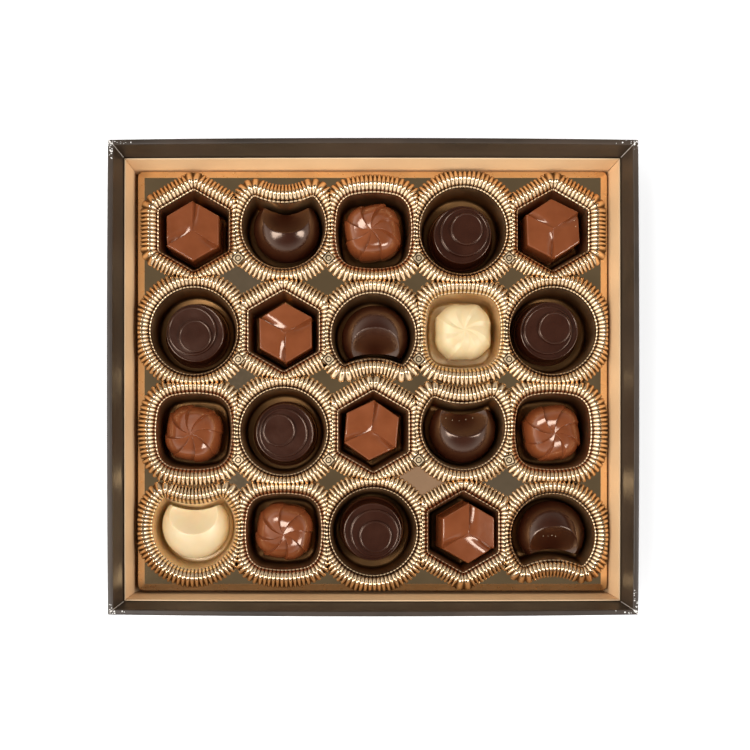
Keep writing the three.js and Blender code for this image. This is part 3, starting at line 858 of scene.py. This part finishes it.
def make_edge_band():
    """The sloping band round the tray's edge, with painted shade on the near and the left side."""
    mesh = Mesh()
    rings = [edge_ring(inset, z) for inset, z in edge_profile()]
    mesh.add_rings(rings)
    band = mesh.build("tray_edge_band", "edge_band", 50)
    # Painted shade: the band's near and left sides are painted darker, as the light falls on them.
    places = (np.concatenate(rings)[:, :2] - TRAY_MIDDLE[:2]) / TRAY_HALF[:2]
    left, near = np.clip((-places - BAND_START) / BAND_BLEND, 0, 1).T
    paint_shade_on_points(band, np.maximum(near * BAND_NEAR_SHADE, left * BAND_LEFT_SHADE))
    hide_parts("tray")


def edge_profile():
    """The tray's outer wall, its rounded edge and the band that slopes up to the flat, as (inset, height)."""
    low = DECK_Z - DROOP - TRAY_EDGE
    profile = [(0, UNDERSIDE_Z)]
    for a in np.radians(np.linspace(0, 90, 5)):
        profile.append((TRAY_EDGE * (1 - math.cos(a)), low + TRAY_EDGE * math.sin(a)))
    for s in np.linspace(0.2, 1, 5):
        profile.append((TRAY_EDGE + DROOP_WIDTH * s, DECK_Z - DROOP * (1 - s)))
    return profile


def edge_ring(inset, z):
    """A ring along the tray's outer wall."""
    corner = max(TRAY_CORNER, inset + 0.4)
    x, y = TRAY_HALF.x - corner, TRAY_HALF.y - corner
    places = ((x, y, 0), (-x, y, 90), (-x, -y, 180), (x, -y, 270))
    arcs = [(cx, cy, corner - inset, a, a + 90) for cx, cy, a in places]
    return raised(outline(arcs, 400, spread=inset)[0] + TRAY_MIDDLE[:2], z)


def make_marks():
    """Small square pads on the rims, each edged with a ridge and bearing a moulded ring round a dot."""
    mesh = Mesh()
    for x, y, turn in MARKS:
        middle = np.array((x, y))
        edge = middle + rotated(outline(square_arcs(MARK_HALF, MARK_CORNER, 1), 48)[0], turn)
        first = mesh.add_rings([raised(edge, MARK_Z - MARK_DEPTH), raised(edge, MARK_Z - MARK_CROWN)])
        mesh.add_fan(first + len(edge), len(edge), (x, y, MARK_Z))
        circle = disc(MARK_RING, 0, (x, y), count=24)[:, :2]
        dot = middle + np.array([(-MARK_DOT, 0), (MARK_DOT, 0)])
        for ridge in (np.concatenate([edge, edge[:1]]), np.concatenate([circle, circle[:1]]), dot):
            add_strand(mesh, [Vector((*place, MARK_Z + MARK_RISE)) for place in ridge], MARK_RIDGE, 8)
    marks = mesh.build("tray_marks", "mark", 40)
    # Painted shade: the upper sides of the ridges, ring and dot are painted dark, the pads stay bright.
    heights = np.concatenate(mesh.points)[:, 2]
    paint_shade_on_points(marks, np.where(heights > MARK_Z + MARK_SHADE_ABOVE, 1.0, 0.0))
    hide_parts("tray")


# The pralines, each standing on its own origin


def disc(radius, z, place=(0, 0), count=128):
    turns = 2 * np.pi * np.arange(count) / count
    x, y = radius * np.cos(turns) + place[0], radius * np.sin(turns) + place[1]
    return raised(np.stack([x, y], axis=1), z)


def bead_rings(radius, z, place=(0, 0)):
    """A disc's edge: up its side and over a thin raised bead, down to the flat face within at height z."""
    rings = [disc(radius, z - BEAD["side"], place)]
    for a in np.radians(np.linspace(0, 180, 9)):
        low = BEAD["step"] if a < math.pi / 2 else 0
        inner = radius - BEAD["width"] * (1 - math.cos(a))
        rings.append(disc(inner, z - low + (BEAD["rise"] + low) * math.sin(a), place))
    return rings


def stack_mesh(praline):
    """Three discs on a brimmed base, each pushed off centre and edged with a thin raised bead."""
    middle, button = praline["tiers"]
    top_z, middle_z, button_z = STACK_FLATS
    rings = [disc(radius, z) for radius, z in STACK_SIDE]
    rings += bead_rings(STACK["top"], top_z)
    rings += [disc(STACK["middle"] + STACK["gap"], top_z, middle)]
    rings += bead_rings(STACK["middle"], middle_z, middle)
    rings += [disc(STACK["button"] + STACK["gap"], middle_z, button)]
    rings += bead_rings(STACK["button"], button_z, button)
    mesh = Mesh()
    mesh.close(mesh.add_rings(rings), rings, (*button, button_z))
    return mesh


def add_blades(mesh, blades, foot):
    """A top made of blades round the middle. A blade is a grid of points, from the row along its high edge to
    the row along its low edge. A step joins it to the next blade, and foot takes the rim down."""
    rim = []
    for blade, after in zip(blades, blades[1:] + blades[:1]):
        rows = list(blade) + [after[0]]
        mesh.add_rings([np.array(row)[::-1] for row in rows], closed=False)
        rim += [row[-1] for row in blade]
    rim = np.array(rim)
    rings = [level(rim) for level in foot] + [rim]
    first = mesh.add_rings(rings)
    mesh.add_cap(first, len(rim), up=False)


def levelled(scale, z):
    """Takes a rim's points straight down to that height, drawn in or out by scale."""
    return lambda rim: raised(rim[:, :2] * scale, z)


def lowered(scale, drop):
    """Takes a rim's points down by drop, drawn in or out by scale."""
    return lambda rim: raised(rim[:, :2] * scale, rim[:, 2] - drop)


def cube_mesh(praline, steps=14):
    """A hexagon whose top is three lozenges set like the vanes of a windmill. Each lozenge is high along its
    first edge and rolls down along its last, where the next one stands above it as a narrow slanting step."""
    edge, drop = CUBE_EDGE["width"], CUBE_EDGE["drop"]
    reach = CUBE["shoulder"] / math.cos(math.radians(30))
    blades = []
    for start in (90, 210, 330):
        high, low = (reach * np.array(cos_sin(a)) for a in (start, start + 120))
        blade = []
        for v in range(2 * steps + 1):
            turned = max(v / steps - 1, 0)
            p = 1 - (1 - CUBE["step"]) * (1 - (1 - turned) ** CUBE["rows_power"])
            q = min(v / steps, 1)
            row = []
            for u in range(steps + 1):
                f, g = p * u / steps, q * u / steps
                near = math.exp(-((f / CUBE_ROLL["width"]) ** 2))
                roll = CUBE_ROLL["depth"] * g ** CUBE_ROLL["power"] * near
                row.append((*(high * f + low * g), CUBE["height"] - CUBE["slope"] * g - roll))
            blade.append(row)
        blades.append(blade)
    mesh = Mesh()
    rounding = []
    for a in np.radians((75, 55, 35, 15)):
        rounding.append(lowered(1 + edge * math.sin(a) / reach, edge * (1 - math.cos(a)) * drop))
    side = 1 + edge / reach
    foot = [levelled(side * scale, z) for scale, z in CUBE_FOOT]
    add_blades(mesh, blades, foot + [lowered(side, edge * CUBE_EDGE["side"])] + rounding)
    return mesh


def swirl_mesh(praline, rings=26, across=10):
    """A cushion-shaped dome with curved blades that wind round its middle. Each blade is high along its first
    edge, and the next one stands above its last edge as a narrow slanting step."""
    worn = praline["choc"] == "white"
    relief = SWIRL_RELIEF * (WORN_RELIEF if worn else 1)
    step = WORN_STEP if worn else SWIRL["step"]
    edge, _ = outline(square_arcs(SWIRL["half"], SWIRL["corner"]), 360)
    around = np.degrees(np.arctan2(edge[:, 1], edge[:, 0])) % 360
    order = np.argsort(around)
    around, far = around[order], np.linalg.norm(edge[order], axis=1)
    blades = []
    for k in range(SWIRL["blades"]):
        blade = []
        for v in range(across + 1):
            share = v / across
            row = []
            for u in range(rings + 1):
                t = u / rings
                a = 360 / SWIRL["blades"] * (k + share * (1 - step)) - SWIRL["twist"] * t
                rim = max(t - SWIRL_FULLEST, 0) / (1 - SWIRL_FULLEST)
                r = np.interp(a % 360, around, far, period=360) * t * (1 - SWIRL["jog"] * share * rim)
                fall = math.sqrt(1 - SWIRL_DOME * t**SWIRL_DOME_POWER)
                dome = SWIRL["wall"] + (SWIRL["height"] - SWIRL["wall"]) * fall
                swell = min(t / SWIRL_FULLEST, 1) * (1 - SWIRL_RIM_LOSS * rim**2)
                rise = relief * swell * (1 - share)
                c, s = cos_sin(a)
                row.append((r * c, r * s, dome + rise))
            blade.append(row)
        blades.append(blade)
    mesh = Mesh()
    add_blades(mesh, blades, [levelled(scale, z) for scale, z in SWIRL_FOOT])
    return mesh


def moon_mesh(praline, count=192, rings=44):
    """A glossy dome with a bite out of one side and a slope scooped down into the bite."""
    edge, _ = outline(bite_arcs(MOON["radius"], MOON["apex"], MOON["bite"], MOON["horn"]), count)
    shells = [raised(edge * MOON_FOOT, 0), raised(edge, MOON_FOOT_Z)]
    for t in np.linspace(1, 0, rings, endpoint=False) ** MOON_SPACING:
        place = edge * t
        shells.append(raised(place, moon_height(place)))
    top = moon_height(np.zeros((1, 2)))[0]
    mesh = Mesh()
    mesh.close(mesh.add_rings(shells), shells, (0, 0, top))
    return mesh


def moon_height(place):
    r = np.minimum(np.linalg.norm(place, axis=1) / DOME_RADIUS, 1)
    dome = DOME_BASE + DOME_HEIGHT * np.sqrt(1 - r**2)
    across = np.hypot(place[:, 0] / SCOOP_WIDTH, place[:, 1] - SCOOP_Y)
    scoop = np.maximum(SCOOP_LOW + SCOOP_SLOPE * across, SCOOP_FLOOR)
    gap = np.maximum(SCOOP_SOFT - np.abs(dome - scoop), 0) / SCOOP_SOFT
    return np.minimum(dome, scoop) - gap**2 * SCOOP_SOFT / 4


SHAPES = {"stack": stack_mesh, "cube": cube_mesh, "swirl": swirl_mesh, "moon": moon_mesh}


def make_praline(row, column):
    praline = LAYOUT[row][column]
    kind, choc = praline["kind"], praline["choc"]
    mesh = SHAPES[kind](praline)
    material = "white swirl" if (choc, kind) == ("white", "swirl") else choc
    piece = mesh.build(f"choc_{row + 1}{column + 1}", material, merge=WELD, angle=SHARP_ANGLE)
    if kind in ROUNDING:
        soften_edges(piece, ROUNDING[kind])
    stand(piece, praline, row, column)
    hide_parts(f"praline_{row + 1}{column + 1}_{choc}_{kind}")


def soften_edges(piece, width):
    bevel = piece.modifiers.new("bevel", "BEVEL")
    bevel.width = width * MM
    bevel.segments = 3
    bevel.limit_method = "ANGLE"
    bevel.angle_limit = math.radians(SHARP_ANGLE)
    bevel.harden_normals = False
    apply_modifiers(piece)


def stand(piece, praline, row, column):
    """Turns and leans a praline, then sets its lowest point on the cup's floor."""
    lean_x, lean_y = (math.radians(a) for a in praline["lean"])
    piece.data.transform(Euler((lean_x, lean_y, math.radians(praline["turn"])), "ZYX").to_matrix().to_4x4())
    lowest = min(v.co.z for v in piece.data.vertices)
    x, y = cup_place(row, column) + praline["place"]
    shift = BITE_SHIFT * praline.get("side", 0)
    for v in piece.data.vertices:
        v.co += Vector((x * MM, (y + shift) * MM, SEAT_Z * MM - lowest))


# Crumbs and scuffs


def add_lump(mesh, place, size, chance, flat=LUMP_FLAT, sides=7):
    """A small uneven ball, flattened to that share of its size above and below its middle."""
    x, y, z = place
    turns = 2 * np.pi * np.arange(sides) / sides
    rings = []
    for a in np.radians((-LUMP_BELT, 0, LUMP_BELT)):
        reach = size / 2 * math.cos(a) * np.array([chance.uniform(*LUMP_SPREAD) for _ in turns])
        places = np.stack([x + reach * np.cos(turns), y + reach * np.sin(turns)], axis=1)
        rings.append(raised(places, z + size * flat * LUMP_SHOULDER * math.sin(a)))
    mesh.close(mesh.add_rings(rings), rings, (x, y, z + size * flat))


def make_crumbs():
    """Pale crumbs, each on whatever lies under its place."""
    chance = random.Random(11)
    graph = bpy.context.evaluated_depsgraph_get()
    mesh = Mesh()
    for x, y in CRUMBS:
        hit, place, *_ = bpy.context.scene.ray_cast(graph, Vector((x, y, RIM_Z)) * MM, Vector((0, 0, -1)))
        if hit:
            size = chance.uniform(*CRUMB_SIZE)
            add_lump(mesh, place / MM + Vector((0, 0, size * CRUMB_SINK)), size, chance)
    crumbs = mesh.build("crumbs", "crumb", 60)


def make_scuffs():
    """White paper fibres where the wrap has worn through, at the corners and along the rim beside them."""
    chance = random.Random(4)
    mesh = Mesh()
    for sx, sy, count in SCUFFED_CORNERS:
        for _ in range(count):
            inset, away = chance.uniform(*SCUFF_INSET), SCUFF_REACH * chance.random() ** 3
            x, y = HALF_X - BOW_RIM[0] - inset, HALF_Y - BOW_RIM[1] - inset
            if chance.random() < 0.5:
                x -= away
            else:
                y -= away
            size = chance.uniform(*SCUFF_SIZE)
            flat = LUMP_SHOULDER * SCUFF_DEPTH / size
            add_lump(mesh, (sx * x, sy * y, RIM_Z - SCUFF_DEPTH), size, chance, flat)
    scuffs = mesh.build("scuffs", "scuff", 60)


# The stage


def make_floor():
    corners = np.array([(-1, -1), (1, -1), (1, 1), (-1, 1)]) * FLOOR_HALF
    data = bpy.data.meshes.new("floor")
    data.from_pydata((raised(corners, -FLOOR_DROP) * MM).tolist(), [], [(0, 1, 2, 3)])
    floor = bpy.data.objects.new("floor", data)
    bpy.context.collection.objects.link(floor)
    material, nodes, links, shader = new_material("pale floor")
    shader.inputs["Base Color"].default_value = (0.92, 0.92, 0.92, 1)
    shader.inputs["Roughness"].default_value = 0.8
    shader.inputs["Emission Color"].default_value = (1, 1, 1, 1)
    shader.inputs["Emission Strength"].default_value = 0.25
    data.materials.append(material)


def make_light(name, place, size, power):
    """A softbox at that place in metres, facing the box."""
    lamp = bpy.data.lights.new(name, "AREA")
    lamp.shape = "RECTANGLE"
    lamp.size, lamp.size_y = size
    lamp.energy = power
    light = bpy.data.objects.new(name, lamp)
    bpy.context.collection.objects.link(light)
    light.location = place
    light.rotation_euler = (-Vector(place)).to_track_quat("-Z", "Y").to_euler()


def make_lights():
    for name, (place, size, power) in LIGHTS.items():
        make_light(name, place, size, power)


def add_product(nodes, links, a, b, more):
    """The product of two numbers or outputs, and more added to it."""
    math_node = nodes.new("ShaderNodeMath")
    math_node.operation = "MULTIPLY_ADD"
    for value, socket in zip((a, b, more), math_node.inputs):
        if isinstance(value, (int, float)):
            socket.default_value = value
        else:
            links.new(value, socket)
    return math_node.outputs["Value"]


def make_surroundings():
    """A studio that is dark overhead and bright low down, most on the near side."""
    world = bpy.data.worlds.new("studio")
    world.use_nodes = True
    nodes, links = world.node_tree.nodes, world.node_tree.links
    place = nodes.new("ShaderNodeTexCoord")
    split = nodes.new("ShaderNodeSeparateXYZ")
    links.new(place.outputs["Generated"], split.inputs["Vector"])
    ring = nodes.new("ShaderNodeMapRange")
    ring.interpolation_type = "SMOOTHSTEP"
    ring.inputs["From Min"].default_value = RING_TOP
    ring.inputs["From Max"].default_value = RING_LOW
    links.new(split.outputs["Z"], ring.inputs["Value"])
    x, y = split.outputs["X"], split.outputs["Y"]
    glow = SURROUNDINGS["ring"]
    for way, growth in ((x, "X"), (y, "Y"), (add_product(nodes, links, x, x, 0), "ends")):
        glow = add_product(nodes, links, way, SURROUNDINGS[growth], glow)
    glow = add_product(nodes, links, ring.outputs["Result"], glow, SURROUNDINGS["overhead"])
    links.new(glow, nodes["Background"].inputs["Strength"])
    nodes["Background"].inputs["Color"].default_value = (1, 1, 1, 1)
    bpy.context.scene.world = world


def make_camera():
    data = bpy.data.cameras.new("camera")
    data.sensor_width = SENSOR
    data.lens = SENSOR * (CAMERA.z / MM - RIM_Z) / FRAME_WIDTH_AT_RIM
    data.shift_x, data.shift_y = CAMERA_SHIFT
    camera = bpy.data.objects.new("camera", data)
    camera.location = CAMERA
    bpy.context.collection.objects.link(camera)
    bpy.context.scene.camera = camera


make_carton()
make_seams()
make_frame()
tray = Tray()
make_rims(tray)
make_wells("tray_wells", "well", pale=False)
make_wells("tray_wells_painted_lighter", "painted_light_well", pale=True)
make_deck(tray)
make_edge_band()
make_marks()
for row in range(4):
    for column in range(5):
        make_praline(row, column)
make_crumbs()
make_scuffs()
make_floor()
make_lights()
make_surroundings()
make_camera()
bpy.context.scene.view_settings.view_transform = "Standard"
